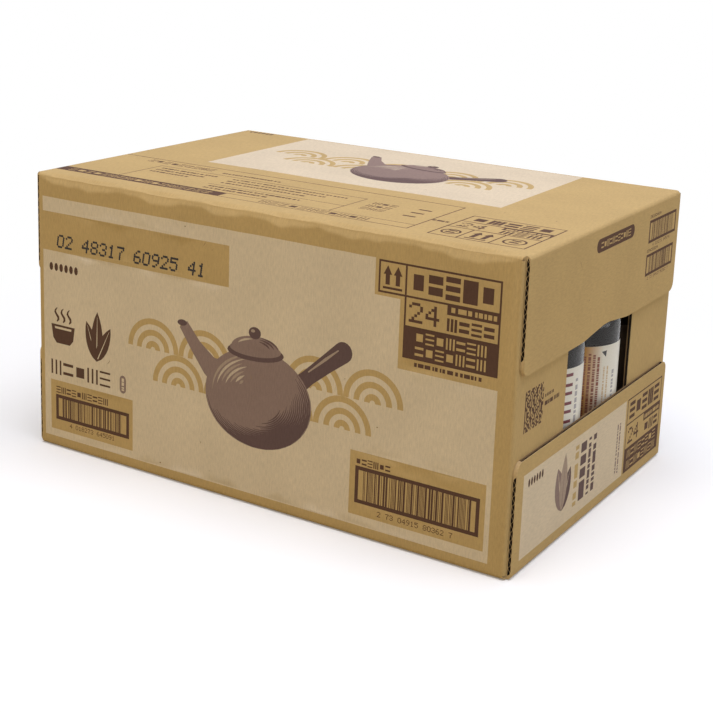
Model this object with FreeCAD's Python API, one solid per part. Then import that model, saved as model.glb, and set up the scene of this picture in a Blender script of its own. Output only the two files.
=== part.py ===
"""A wrap-around corrugated case packed with bottles of tea, four rows of six.

X runs along the case, Y runs from its front panel to its back panel and Z points up. The origin is
the middle of the underside. All sizes are in millimetres.

The case is one folded blank. Its front, bottom, back and top panels wrap round the bottles, and the
top panel ends in a tab glued behind the back panel. Each end is closed by four flaps: two inner
flaps that the front and back panels carry, and over them two outer flaps that the top and bottom
panels carry. No flap reaches the middle of the end, so the bottles of the end column show there.
"""
import FreeCAD, Part
import math
import os

Vector = FreeCAD.Vector

# The load
COLUMNS = 6  # bottles along the case
ROWS = 4  # bottles across the case
BOTTLE_GAP = 0.2  # between neighbouring bottles
SLACK = 0.5  # play of the whole load, along and across the case
HEADROOM = 1.0  # between the caps and the top panel

# The board of the case
BOARD = 3.0  # thickness of the corrugated board
FOLD_R = 3.0  # outer radius of a fold
TAB = 35.0  # length of the glue tab
OUTER_FLAP_TOP = 80.0  # height that the top panel's flap covers
OUTER_FLAP_BOTTOM = 81.0  # height that the bottom panel's flap covers
INNER_FLAP = 81.0  # width of the end that each inner flap covers
FLAP_SETBACK = 3.5  # from the front or back plane to an outer flap's side edge
FLAP_CORNER_R = 7.0  # free corners of the outer flaps
NOTCH_WIDTH = 82.0  # shallow notch in the top flap's free edge
NOTCH_DEPTH = 5.0

# The corrugation inside the board, which shows where a cut runs across it
FLUTE = 6.2  # length of one wave
LINER = 0.4  # paper on each face
FLUTE_SHEET = 0.35  # paper of the wave
FLUTE_FOOT = 0.55  # half the width over which the wave lies on a liner
FLUTE_CREST_R = 0.8
FLUTE_REACH = 2.0  # how far in the open flutes are modelled
FLUTE_MARGIN = 1.0  # closed board at the ends of an open edge

# A bottle, as a stack of heights from its foot to its rim
BODY_D = 67.5
PUSH_UP = 5.0  # height of the dimple under the base
PUSH_UP_R = 9.0  # flat of the dimple
FOOT_R = 21.0  # inner edge of the ring that the bottle stands on
HEEL_R = 6.0
GROOVE_Z = 14.5  # stiffening groove round the base
GROOVE_WIDTH = 5.0
GROOVE_DEPTH = 1.2
BASE_H = 36.5  # from the foot to the label
LABEL_H = 82.2
LABEL_T = 0.3
WALL_RISE = 20.3  # from the label to where the lines of the wall and of the shoulder cone meet
SHOULDER_RISE = 13.0  # from there to where the lines of the shoulder cone and of the neck meet
SHOULDER_R = 28.5
NECK_R = 13.6
NECK_H = 37.4  # from the shoulder cone to the carrying ring
NECK_FILLET = 9.0
FINISH_R = 12.6  # outside of the mouth, under the cap
FINISH_H = 20.2  # from the carrying ring to the rim
RING_R = 16.4
RING_T = 1.8
MOUTH_R = 10.7
MOUTH_TAPER = 4.0  # height over which the inside narrows to the mouth
WALL = 0.45
FILL_DROP = 8.4  # from the carrying ring down to the level of the tea

# The cap
CAP_R = 14.9
CAP_BORE_R = 13.7
CAP_TOP = 1.6
CAP_EDGE_R = 1.2
CAP_GAP = 1.2  # between the carrying ring and the cap's lower edge
BAND_H = 2.6  # tamper band below the skirt
BAND_GROOVE = 0.4

# Worked out from the sizes above
BODY_R = BODY_D / 2
LABEL_TOP = BASE_H + LABEL_H
SHOULDER_Z = LABEL_TOP + WALL_RISE
NECK_Z = SHOULDER_Z + SHOULDER_RISE
RING_Z = NECK_Z + NECK_H
RIM_Z = RING_Z + RING_T + FINISH_H
BOTTLE_H = RIM_Z + CAP_TOP
PITCH = BODY_D + BOTTLE_GAP
INNER_LENGTH = COLUMNS * PITCH + SLACK
INNER_WIDTH = ROWS * PITCH + SLACK
INNER_HEIGHT = BOTTLE_H + HEADROOM
LENGTH = INNER_LENGTH + 4 * BOARD
WIDTH = INNER_WIDTH + 3 * BOARD
HEIGHT = INNER_HEIGHT + 2 * BOARD
SLEEVE_END = LENGTH / 2 - BOARD  # where the front and back panels fold into the inner flaps
TAB_FACE = WIDTH / 2 - BOARD  # plane between the glue tab and the back panel
GAP_HALF = WIDTH / 2 - INNER_FLAP  # half the width of the opening between the inner flaps


def unit(start, end):
    """The direction from one point of a plane to another, and their distance."""
    du = end[0] - start[0]
    dv = end[1] - start[1]
    size = math.hypot(du, dv)
    return du / size, dv / size, size


def outline(corners, place):
    """A flat face inside a polygon of (u, v, radius) corners, whose round corners are arcs.

    place turns u and v into a point in space. A radius is limited by the sides that it joins.
    """
    marks = []
    for index, (u, v, radius) in enumerate(corners):
        to_last = unit((u, v), corners[index - 1])
        to_next = unit((u, v), corners[(index + 1) % len(corners)])
        if not radius:
            marks.append((place(u, v),))
            continue
        between = math.acos(to_last[0] * to_next[0] + to_last[1] * to_next[1])
        reach = min(radius / math.tan(between / 2), 0.49 * to_last[2], 0.49 * to_next[2])
        middle = (reach / math.cos(between / 2)) * (1 - math.sin(between / 2))
        bisector = unit((0, 0), (to_last[0] + to_next[0], to_last[1] + to_next[1]))
        marks.append((
            place(u + reach * to_last[0], v + reach * to_last[1]),
            place(u + middle * bisector[0], v + middle * bisector[1]),
            place(u + reach * to_next[0], v + reach * to_next[1]),
        ))
    edges = []
    for index, mark in enumerate(marks):
        if len(mark) == 3:
            edges.append(Part.Arc(*mark).toShape())
        start = mark[-1]
        end = marks[(index + 1) % len(marks)][0]
        if start.distanceToPoint(end) > 1e-6:
            edges.append(Part.makeLine(start, end))
    return Part.Face(Part.Wire(edges))


def along_x(corners, start, end):
    """A prism along X over an outline in (y, z)."""
    face = outline(corners, lambda y, z: Vector(start, y, z))
    return face.extrude(Vector(end - start, 0, 0))


def along_y(corners, start, end):
    """A prism along Y over an outline in (x, z)."""
    face = outline(corners, lambda x, z: Vector(x, start, z))
    return face.extrude(Vector(0, end - start, 0))


def along_z(corners, start, end):
    """A prism along Z over an outline in (x, y)."""
    face = outline(corners, lambda x, y: Vector(x, y, start))
    return face.extrude(Vector(0, 0, end - start))


def turned(corners):
    """A solid turned about Z from an outline in (radius, z) that lies beside the axis."""
    return outline(corners, lambda r, z: Vector(r, 0, z)).revolve(Vector(), Vector(0, 0, 1), 360)


# ---- the case ----

def sleeve():
    """The four panels that wrap round the load, with the glue tab inside the back panel."""
    half = WIDTH / 2
    seam_z = HEIGHT - FOLD_R
    ring = along_x([
        (-half, 0, FOLD_R), (half, 0, FOLD_R), (half, seam_z, 0), (TAB_FACE, seam_z, 0),
        (TAB_FACE, HEIGHT, FOLD_R), (-half, HEIGHT, FOLD_R),
    ], -SLEEVE_END, SLEEVE_END)
    inside = along_x([
        (-half + BOARD, BOARD, 0), (TAB_FACE, BOARD, 0), (TAB_FACE, HEIGHT - BOARD - TAB, 0),
        (TAB_FACE - BOARD, HEIGHT - BOARD - TAB, 0), (TAB_FACE - BOARD, HEIGHT - BOARD, 0),
        (-half + BOARD, HEIGHT - BOARD, 0),
    ], -SLEEVE_END, SLEEVE_END)
    upright_folds = along_z([
        (-SLEEVE_END, -half, FOLD_R), (SLEEVE_END, -half, FOLD_R),
        (SLEEVE_END, half, FOLD_R), (-SLEEVE_END, half, FOLD_R),
    ], 0, HEIGHT)
    return ring.cut(inside).common(upright_folds)


def inner_flaps(end):
    """The two flaps at one end that the front and back panels carry; end is 1 or -1."""
    flaps = []
    for side in (-1, 1):
        edge = side * WIDTH / 2
        free = side * GAP_HALF
        flaps.append(along_z([
            (end * SLEEVE_END, edge, FOLD_R), (end * SLEEVE_END, free, 0),
            (end * (SLEEVE_END - BOARD), free, 0), (end * (SLEEVE_END - BOARD), edge, 0),
        ], BOARD, HEIGHT - BOARD))
    return flaps


def outer_flaps(fold_z, free_z, free_edge):
    """A panel of the top or bottom with the flap folded from each of its ends.

    fold_z is the panel's outer plane, free_z the height where its flaps end, and free_edge the
    corners along the flaps' free edge in (y, z).
    """
    inward = BOARD if free_z > fold_z else -BOARD
    half = LENGTH / 2
    reach = WIDTH / 2 - FLAP_SETBACK
    bent = along_y([
        (-half, free_z, 0), (-half, fold_z, FOLD_R), (half, fold_z, FOLD_R), (half, free_z, 0),
        (SLEEVE_END, free_z, 0), (SLEEVE_END, fold_z + inward, 0),
        (-SLEEVE_END, fold_z + inward, 0), (-SLEEVE_END, free_z, 0),
    ], -reach, reach)
    shape = [(-reach, fold_z, 0), (-reach, free_z, FLAP_CORNER_R)]
    shape += free_edge
    shape += [(reach, free_z, FLAP_CORNER_R), (reach, fold_z, 0)]
    return bent.common(along_x(shape, -half, half))


def flute_ends(start, stop):
    """Outlines of the hollows beside the wave between start and stop, as corners (along, through).

    through runs from the board's outer face to its inner face. Every second hollow lies under the
    other liner.
    """
    hollows = []
    for half in range(int((stop - start) / (FLUTE / 2)) - 1):
        left = start + half * FLUTE / 2 + FLUTE_FOOT
        right = left + FLUTE - 2 * FLUTE_FOOT
        foot, crest = LINER, BOARD - LINER - FLUTE_SHEET
        if half % 2:
            foot, crest = BOARD - foot, BOARD - crest
        hollows.append([
            (left, foot, 0), ((left + right) / 2, crest, FLUTE_CREST_R), (right, foot, 0),
        ])
    return hollows


def open_flutes():
    """The hollows at the outer flaps' side edges and along the back panel's cut edge."""
    hollows = []
    reach = WIDTH / 2 - FLAP_SETBACK
    straight = FLAP_CORNER_R + FLUTE_MARGIN
    clear = FOLD_R + FLUTE_MARGIN
    edges = flute_ends(HEIGHT - OUTER_FLAP_TOP + straight, HEIGHT - clear)
    edges += flute_ends(clear, OUTER_FLAP_BOTTOM - straight)
    for end in (-1, 1):
        for side in (-1, 1):
            for corners in edges:
                section = [(end * (LENGTH / 2 - through), z, r) for z, through, r in corners]
                hollows.append(along_y(section, side * (reach - FLUTE_REACH), side * reach))
    seam_z = HEIGHT - FOLD_R
    for corners in flute_ends(2 * BOARD - SLEEVE_END, SLEEVE_END - 2 * BOARD):
        section = [(x, WIDTH / 2 - through, r) for x, through, r in corners]
        hollows.append(along_z(section, seam_z - FLUTE_REACH, seam_z))
    return hollows


def carton():
    """The whole case, as one folded and glued sheet with its open flutes."""
    top_free = HEIGHT - OUTER_FLAP_TOP
    notch = [
        (-NOTCH_WIDTH / 2, top_free, NOTCH_WIDTH), (0, top_free + NOTCH_DEPTH, NOTCH_WIDTH),
        (NOTCH_WIDTH / 2, top_free, NOTCH_WIDTH),
    ]
    pieces = [outer_flaps(HEIGHT, top_free, notch), outer_flaps(0, OUTER_FLAP_BOTTOM, [])]
    pieces += inner_flaps(1) + inner_flaps(-1)
    return sleeve().fuse(pieces).removeSplitter().cut(open_flutes())


# ---- a bottle ----

def bottle_profile(inset, base_z, top):
    """Half the section of a bottle, with its wall moved in by inset, as corners in (radius, z).

    base_z is how far the base moves up, and top the corners above the neck.
    """
    wall = BODY_R - inset
    corners = [
        (0, PUSH_UP + base_z, 0), (PUSH_UP_R, PUSH_UP + base_z, 4.0), (FOOT_R, base_z, 2.0),
        (wall, base_z, HEEL_R - inset),
    ]
    corners += [
        (wall, GROOVE_Z - GROOVE_WIDTH / 2, 0.8), (wall - GROOVE_DEPTH, GROOVE_Z, 1.5),
        (wall, GROOVE_Z + GROOVE_WIDTH / 2, 0.8),
        (wall, BASE_H, 0), (wall - LABEL_T, BASE_H, 0), (wall - LABEL_T, LABEL_TOP, 0),
        (wall, LABEL_TOP, 0), (wall, SHOULDER_Z, SHOULDER_R - inset),
        (NECK_R - inset, NECK_Z, NECK_FILLET + inset),
    ]
    return corners + top


def bottle_outside():
    """A closed and filled bottle without its cap: the outside of the wall, made solid."""
    return turned(bottle_profile(0, 0, [
        (FINISH_R, RING_Z, 0), (RING_R, RING_Z, 0.5), (RING_R, RING_Z + RING_T, 0.5),
        (FINISH_R, RING_Z + RING_T, 0), (FINISH_R, RIM_Z, 0), (0, RIM_Z, 0),
    ]))


def bottle_inside():
    """The space inside a bottle's wall, up to its rim."""
    return turned(bottle_profile(WALL, WALL, [
        (FINISH_R - WALL, RING_Z - MOUTH_TAPER, 0), (MOUTH_R, RING_Z, 0), (MOUTH_R, RIM_Z, 0),
        (0, RIM_Z, 0),
    ]))


def tea(inside):
    """The tea, which fills the inside up to its level."""
    return inside.common(Part.makeCylinder(BODY_D, RING_Z - FILL_DROP))


def label():
    """The printed sleeve, flush with the wall above and below it."""
    outer = Part.makeCylinder(BODY_R, LABEL_TOP - BASE_H, Vector(0, 0, BASE_H))
    bore = Part.makeCylinder(BODY_R - LABEL_T, LABEL_TOP - BASE_H, Vector(0, 0, BASE_H))
    return outer.cut(bore)


def cap():
    """A screw cap that stands on the rim, with its tamper band."""
    foot = RING_Z + RING_T + CAP_GAP
    band_top = foot + BAND_H
    return turned([
        (CAP_BORE_R, foot, 0), (CAP_R, foot, 0.3), (CAP_R, band_top, 0),
        (CAP_R - BAND_GROOVE, band_top, 0), (CAP_R - BAND_GROOVE, band_top + BAND_GROOVE, 0),
        (CAP_R, band_top + BAND_GROOVE, 0), (CAP_R, BOTTLE_H, CAP_EDGE_R), (0, BOTTLE_H, 0),
        (0, RIM_Z, 0), (CAP_BORE_R, RIM_Z, 0),
    ])


def places():
    """Each bottle's column and row, counted from 1, its place, and whether the end gap shows it.

    A row that meets an inner flap stands between the inner flaps. The rows in the gap between
    those flaps spread out, to the outer flaps or to where a bottle's side meets a flap's edge.
    """
    found = []
    for row in range(ROWS):
        y = -WIDTH / 2 + BOARD + SLACK / 2 + PITCH * (row + 0.5)
        past_edge = min(max(GAP_HALF - abs(y), 0), BODY_R)
        spread = min(BOARD, BODY_R - math.sqrt(BODY_R ** 2 - past_edge ** 2))
        in_gap = past_edge > 0
        step = (INNER_LENGTH + 2 * spread - SLACK - BODY_D) / (COLUMNS - 1)
        for column in range(COLUMNS):
            x = step * (column - (COLUMNS - 1) / 2)
            shows = in_gap and column in (0, COLUMNS - 1)
            found.append((column + 1, row + 1, Vector(x, y, BOARD), shows))
    return found


def save(shape, name, place=Vector()):
    """Write one solid, moved to its place, under the name of its node."""
    moved = shape.copy()
    moved.translate(place)
    moved.exportStep("parts/" + name + ".step")


def main():
    os.makedirs("parts", exist_ok=True)
    save(carton(), "carton")
    filled = bottle_outside()
    inside = bottle_inside()
    shell = filled.cut(inside)
    contents = tea(inside)
    sleeve_label = label()
    hidden = filled.fuse(sleeve_label).removeSplitter()
    screw_cap = cap()
    for column, row, place, shows in places():
        number = "_%d_%d" % (column, row)
        save(screw_cap, "cap" + number, place)
        if shows:
            save(shell, "bottle" + number, place)
            save(contents, "tea" + number, place)
            save(sleeve_label, "label" + number, place)
        else:
            save(hidden, "bottle" + number, place)


main()
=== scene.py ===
"""Looks of a closed corrugated case of bottled tea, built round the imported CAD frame.

The case is drawn on its flat blank, where x runs along the case, s runs round the sleeve and d goes
through the board. fold() turns a place on the blank into a point of the folded case. Print is a list
of flat shapes on the blank, and the last shape painted over a place gives it its ink.
All sizes are in millimetres until a mesh is made.
"""
import random
from math import cos, exp, pi, radians, sin, tan

import bmesh
import bpy
from mathutils import Matrix, Vector
from mathutils.geometry import delaunay_2d_cdt


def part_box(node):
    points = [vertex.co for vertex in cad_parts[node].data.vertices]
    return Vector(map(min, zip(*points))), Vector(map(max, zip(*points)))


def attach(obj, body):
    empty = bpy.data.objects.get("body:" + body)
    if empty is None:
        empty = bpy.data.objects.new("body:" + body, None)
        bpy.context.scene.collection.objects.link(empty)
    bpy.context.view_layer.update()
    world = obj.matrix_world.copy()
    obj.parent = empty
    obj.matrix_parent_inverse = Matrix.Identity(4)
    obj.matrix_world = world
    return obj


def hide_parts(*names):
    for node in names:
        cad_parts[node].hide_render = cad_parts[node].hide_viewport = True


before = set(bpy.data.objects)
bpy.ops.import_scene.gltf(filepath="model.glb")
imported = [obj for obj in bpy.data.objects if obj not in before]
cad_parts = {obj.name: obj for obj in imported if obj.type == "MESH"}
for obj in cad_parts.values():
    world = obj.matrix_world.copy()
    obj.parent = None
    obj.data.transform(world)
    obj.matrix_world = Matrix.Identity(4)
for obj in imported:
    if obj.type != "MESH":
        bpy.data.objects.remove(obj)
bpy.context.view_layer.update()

MM = 0.001
SHARP_EDGE = radians(38)

# ---- sizes, the same as in the part's source ----

low, high = [[value / MM for value in corner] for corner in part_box("carton")]
LENGTH = high[0] - low[0]
WIDTH = high[1] - low[1]
HEIGHT = high[2] - low[2]
BOARD = 3.0
FOLD_R = 3.0
TAB = 35.0
OUTER_FLAP_TOP = 80.0
OUTER_FLAP_BOTTOM = 81.0
INNER_FLAP = 81.0
FLAP_SETBACK = 3.5
FLAP_CORNER_R = 7.0
NOTCH_WIDTH = 82.0
NOTCH_DEPTH = 5.0
BODY_D = 67.5
PITCH = BODY_D + 0.2
SLEEVE_END = LENGTH / 2 - BOARD

# ---- the blank ----

THICK = BOARD - 0.1  # keeps the faces of one flap clear of the next
SHORT_SIDE = 30.0  # a cut edge up to this long is plain, without flutes
BEND = FOLD_R * pi / 2
FLUTE = 6.2  # length of one wave of the corrugation
LINER = 0.4  # paper on each side of the corrugation

PANELS = {}
place_on_wrap = 0.0
for panel, panel_length in (
    ("back", HEIGHT - 2 * FOLD_R), ("bottom", WIDTH - 2 * FOLD_R), ("front", HEIGHT - 2 * FOLD_R),
    ("top", WIDTH - BOARD - 2 * FOLD_R), ("tab", TAB + BOARD - FOLD_R),
):
    PANELS[panel] = (place_on_wrap, place_on_wrap + panel_length)
    place_on_wrap += panel_length + BEND


def wrap(s, past_top=False):
    """Point and outward normal of the outer face in (y, z). past_top carries the top panel on flat."""
    point = Vector((WIDTH / 2, HEIGHT - FOLD_R))
    normal = Vector((1, 0))
    for name, (start, end) in PANELS.items():
        along = Vector((normal.y, -normal.x))
        if s <= end or name == "tab" or (past_top and name == "top"):
            return point + along * (s - start), normal
        point = point + along * (end - start)
        if s < end + BEND:
            turn = (s - end) / FOLD_R
            turned = normal * cos(turn) + along * sin(turn)
            return point + (turned - normal) * FOLD_R, turned
        point = point + (along - normal) * FOLD_R
        normal = along


def end_plane(s):
    """How far out the ends fold: the outer flaps lie a board's thickness over the inner flaps."""
    outer = LENGTH / 2
    for name, (start, end) in PANELS.items():
        here = SLEEVE_END if name in ("back", "front") else outer
        if s <= end:
            return here
        if s < end + BEND and name != "top":
            share = (s - end) / BEND
            there = outer if here == SLEEVE_END else SLEEVE_END
            return here + (there - here) * share
    return outer


SIDE_SWELL = 0.55  # how far the long sides sink between two bottles
TOP_SAG = 0.5  # how far the top sinks
CRUSH_SLOPE = 0.5  # how steeply the pressed strip leans in
CRUSH_BELOW, CRUSH_BEHIND = 14, 9  # how far it reaches down the front and back over the top
CRUSH_FADE = 2.2  # how soon it fades on the top


def crush(x, s):
    """The pressed fold at the front of the top: a slanted strip whose lower edge wanders."""
    end = PANELS["front"][1]
    below, behind = end - s, s - end - BEND
    if below > CRUSH_BELOW or behind > CRUSH_BEHIND:
        return 0.0
    ripple = 0.5 - 0.5 * cos(2 * pi * (x + 18 * sin(x / 57)) / PITCH)
    reach = 1.6 + 3.6 * ripple ** 0.8 + 1.1 * sin(x / 8.3) * ripple + 0.5 * sin(x / 3.1 + 1)
    reach *= min(1, (SLEEVE_END - abs(x)) / 18)
    if below > 0:
        return CRUSH_SLOPE * max(reach - below, 0.0)
    if behind > 0:
        return CRUSH_SLOPE * reach * exp(-(behind / CRUSH_FADE) ** 2)
    return CRUSH_SLOPE * reach


def dent(x, s):
    """How far the board is pressed in at a place on the blank."""
    reach = 1 - min(max((abs(x) - 150) / 50, 0), 1)
    between_bottles = 0.5 + 0.5 * cos(2 * pi * x / PITCH)
    depth = 0.0
    for name in ("front", "back"):
        start, end = PANELS[name]
        if start < s < end:
            share = (s - start) / (end - start)
            depth += SIDE_SWELL * reach * between_bottles * sin(pi * share) ** 0.7
    start, end = PANELS["top"]
    if start < s < end:
        share = (s - start) / (end - start)
        depth += TOP_SAG * reach * sin(pi * share) * (0.6 + 0.4 * sin(x / 23 + s / 31))
    if abs(x) < SLEEVE_END:
        depth += crush(x, s)
    return depth


def fold(x, s, d):
    """The point of the folded case, in millimetres, for a place on the blank."""
    side = 1 if x >= 0 else -1
    past_top = abs(x) > SLEEVE_END and s > PANELS["top"][1]
    (y, z), (ny, nz) = wrap(s, past_top)
    end = end_plane(s)
    over = abs(x) - (end - FOLD_R)
    if over <= 0:
        along, inward, turn = abs(x), 0.0, 0.0
    elif over < BEND:
        turn = over / FOLD_R
        along = end - FOLD_R + FOLD_R * sin(turn)
        inward = FOLD_R * (1 - cos(turn))
    else:
        along, inward, turn = end, FOLD_R + over - BEND, pi / 2
    depth = d + dent(x, s)
    across = cos(turn)
    return Vector((
        side * (along - depth * sin(turn)),
        y - ny * (inward + depth * across),
        z - nz * (inward + depth * across),
    ))


# Places on the blank for a point drawn on a face. u runs right and v down, as the face is seen.

def on_front(u, v):
    return u - LENGTH / 2, PANELS["front"][0] + HEIGHT - FOLD_R - v


def on_back(u, v):
    return LENGTH / 2 - u, PANELS["back"][0] + v - FOLD_R


def on_top(u, v):
    return u - LENGTH / 2, PANELS["top"][0] + WIDTH - FOLD_R - v


def end_faces(side):
    """Places on the three flaps of one end: the top flap, the bottom flap and the inner flap on the left."""
    outer = LENGTH / 2 - 2 * FOLD_R + BEND
    inner = SLEEVE_END - 2 * FOLD_R + BEND

    def from_front(u):
        return u if side > 0 else WIDTH - u

    def top_flap(u, v):
        return side * (outer + v), PANELS["top"][0] + from_front(u) - FOLD_R

    def bottom_flap(u, v):
        return side * (outer + HEIGHT - v), PANELS["bottom"][0] + WIDTH - FOLD_R - from_front(u)

    def inner_flap(u, v):
        if side > 0:
            return inner + u, PANELS["front"][0] + HEIGHT - FOLD_R - v
        return -inner - u, PANELS["back"][0] + v - FOLD_R

    return top_flap, bottom_flap, inner_flap


def blank_outline():
    """Corners (x, s, radius) of half the blank, from the back panel's cut edge round to the tab."""
    flap_start = BEND - 2 * FOLD_R
    inner_free = SLEEVE_END + flap_start + INNER_FLAP
    slot_outer = LENGTH / 2 - FOLD_R - 0.15
    slot_inner = SLEEVE_END - FOLD_R + 1.3
    setback = FLAP_SETBACK - FOLD_R

    def inner_flap(name):
        start, end = PANELS[name]
        return [(inner_free, start, 0), (inner_free, end, 0), (slot_inner, end, 0)]

    def outer_flap(start, end, flap_length, notch_depth):
        free = LENGTH / 2 + flap_start + flap_length
        corners = [(slot_outer, start, 0), (free, start, FLAP_CORNER_R)]
        if notch_depth:
            middle = PANELS["top"][0] + WIDTH / 2 - FOLD_R
            for share, depth in ((-0.5, 0), (0, notch_depth), (0.5, 0)):
                corners.append((free - depth, middle + share * NOTCH_WIDTH, NOTCH_WIDTH))
        return corners + [(free, end, FLAP_CORNER_R), (slot_outer, end, 0)]

    start, end = PANELS["bottom"]
    corners = inner_flap("back") + outer_flap(start + setback, end - setback, OUTER_FLAP_BOTTOM, 0)
    corners += [(slot_inner, PANELS["front"][0], 0)] + inner_flap("front")
    start = PANELS["top"][0]
    end = start + WIDTH - 2 * FOLD_R
    corners += outer_flap(start + setback, end - setback, OUTER_FLAP_TOP, NOTCH_DEPTH)
    start, end = PANELS["tab"]
    side, cut = SLEEVE_END - 2 * BOARD, 8
    return corners + [(side, start - BEND / 2, 0), (side, end - cut, 0), (side - cut, end, 0)]


def ring_pairs(items):
    """Each item of a closed ring with the next."""
    return zip(items, items[1:] + items[:1])


def rounded(corners, step=4.0):
    """The corners' outline as points, with round corners as arcs and long sides cut every step."""
    arcs = []
    for index, (*spot, radius) in enumerate(corners):
        here = Vector(spot)
        if not radius:
            arcs.append([here])
            continue
        back = Vector(corners[index - 1][:2]) - here
        ahead = Vector(corners[(index + 1) % len(corners)][:2]) - here
        half = back.angle(ahead) / 2
        reach = min(radius / tan(half), 0.49 * back.length, 0.49 * ahead.length)
        radius = reach * tan(half)
        back.normalize()
        ahead.normalize()
        middle = here + (back + ahead).normalized() * (radius / sin(half))
        start = here + back * reach - middle
        sweep = start.angle_signed(here + ahead * reach - middle)
        pieces = max(3, round(abs(sweep) * radius / 1.5))
        turns = [Matrix.Rotation(-sweep * part / pieces, 2) for part in range(pieces + 1)]
        arcs.append([middle + turn @ start for turn in turns])
    path = []
    for arc, following in ring_pairs(arcs):
        start, finish = arc[-1], following[0]
        pieces = max(1, round((finish - start).length / step))
        path += arc + [start.lerp(finish, part / pieces) for part in range(1, pieces)]
    return path


# ---- print ----

board_prints = []  # (ink, [(x, s), ...]) in the order of painting
label_prints = []


def on_label(u, v):
    """A place on a flat label: u from its middle and v up its height."""
    return u, v


def paint(ink, face, points):
    sheet = label_prints if face is on_label else board_prints
    sheet.append((ink, [face(u, v) for u, v in points]))


def box(ink, face, left, top, right, bottom):
    paint(ink, face, [(left, top), (right, top), (right, bottom), (left, bottom)])


def frame_box(ink, face, left, top, right, bottom, line):
    """The lines of a rectangle, inside its sides."""
    box(ink, face, left, top, right, top + line)
    box(ink, face, left, bottom - line, right, bottom)
    box(ink, face, left, top + line, left + line, bottom - line)
    box(ink, face, right - line, top + line, right, bottom - line)


def ellipse(middle, radii, start=0.0, finish=360.0, pieces=24):
    """Points of an arc of an ellipse, with angles in degrees clockwise from the right."""
    full = abs(finish - start) == 360
    points = []
    for part in range(pieces if full else pieces + 1):
        angle = radians(start + (finish - start) * part / pieces)
        points.append((middle[0] + radii[0] * cos(angle), middle[1] + radii[1] * sin(angle)))
    return points


def dots(face, u, v, radii, step):
    """Six dark ovals in a row, where the case has a name."""
    for index in range(6):
        paint("brown", face, ellipse((u + index * step, v), radii, pieces=10))


def band(ink, face, points, widths):
    """A line of varied width through the points, as one strip of four-sided pieces."""
    sides = []
    for index, here in enumerate(points):
        before = Vector(points[max(index - 1, 0)])
        after = Vector(points[min(index + 1, len(points) - 1)])
        across = (after - before).normalized().orthogonal() * widths[index] / 2
        sides.append((Vector(here) + across, Vector(here) - across))
    for (a, b), (c, e) in zip(sides, sides[1:]):
        paint(ink, face, [tuple(corner) for corner in (a, b, e, c)])


def words(ink, face, left, top, right, bottom, letter, seed, upright=False):
    """A line of plain marks where the case has writing: bars of varied length with gaps."""
    dice = random.Random(seed)
    place, stop = (top, bottom) if upright else (left, right)
    while place < stop - letter * 0.3:
        length = min(letter * dice.choice((0.8, 0.8, 0.8, 1.7, 0.5)), stop - place)
        if upright:
            box(ink, face, left, place, right, place + length)
        else:
            box(ink, face, place, top, place + length, bottom)
        place += length + letter * dice.choice((0.25, 0.25, 0.3, 0.6))


def marks(ink, face, left, top, right, bottom, count, seed, line):
    """A row of plain marks where the case has large writing: each is two or three bars, or a solid block."""
    dice = random.Random(seed)
    cell = (right - left) / count
    height = bottom - top
    form = None
    for index in range(count):
        start = left + index * cell + cell * 0.08
        finish = start + cell * 0.84
        form = dice.choice([kind for kind in ("level", "upright", "block", "pair") if kind != form])
        if form == "block":
            inset = 0.16 * height
            box(ink, face, start + inset * 0.6, top + inset, finish - inset * 0.6, bottom - inset)
            continue
        for share in ((0.12, 0.88) if form == "pair" else (0.0, 0.5, 1.0)):
            if form == "upright":
                bar = line * height * 1.1
                across = start + share * (finish - start - bar)
                box(ink, face, across, top, across + bar, bottom)
            else:
                bar = line * height * (1.5 if form == "pair" else 1)
                level = top + share * (height - bar)
                box(ink, face, start, level, finish, level + bar)


DIGITS = {
    "0": (14, 17, 17, 17, 17, 17, 14), "1": (4, 12, 4, 4, 4, 4, 14), "2": (14, 17, 1, 2, 4, 8, 31),
    "3": (14, 17, 1, 6, 1, 17, 14), "4": (2, 6, 10, 18, 31, 2, 2), "5": (31, 16, 30, 1, 1, 17, 14),
    "6": (6, 8, 16, 30, 17, 17, 14), "7": (31, 1, 2, 4, 4, 4, 4), "8": (14, 17, 17, 14, 17, 17, 14),
    "9": (14, 17, 17, 15, 1, 2, 12), " ": (0,) * 7,
}  # each row of a digit is five dots, as the bits of a number


def digits(ink, face, text, left, top, height, width, dot=0.0, slant=0.0):
    """Plain numbers as squares, or as round dots of ink that are dot times as wide as their spacing."""
    down, across = height / 7, width / 6
    for place, sign in enumerate(text):
        for row, bits in enumerate(DIGITS[sign]):
            for column in range(5):
                if bits >> (4 - column) & 1:
                    u = left + place * width + column * across + slant * (height - row * down)
                    v = top + row * down
                    if dot:
                        radii = (across * dot / 2, down * dot / 2)
                        paint(ink, face, ellipse((u + across / 2, v + down / 2), radii, pieces=8))
                    else:
                        box(ink, face, u, v, u + across, v + down)


def barcode(face, left, top, right, bottom, line, caption, number, seed):
    """A framed bar code of chance bars, its caption above and plain numbers below."""
    dice = random.Random(seed)
    letters = round((caption[2] - caption[0]) / (caption[3] - caption[1]))
    marks("brown", face, *caption, letters, seed + 1, 0.16)
    box("brown", face, left, top, right, bottom)
    box("kraft", face, left + line, top + line, right - line, bottom - line)
    place = left + line + 4.0
    while place < right - line - 5.0:
        bar = dice.choice((0.5, 0.5, 1.0, 1.5))
        box("brown", face, place, top + line, place + bar, bottom - line)
        place += bar + dice.choice((0.5, 0.5, 1.0, 1.4))
    digits("brown", face, *number)


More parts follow.
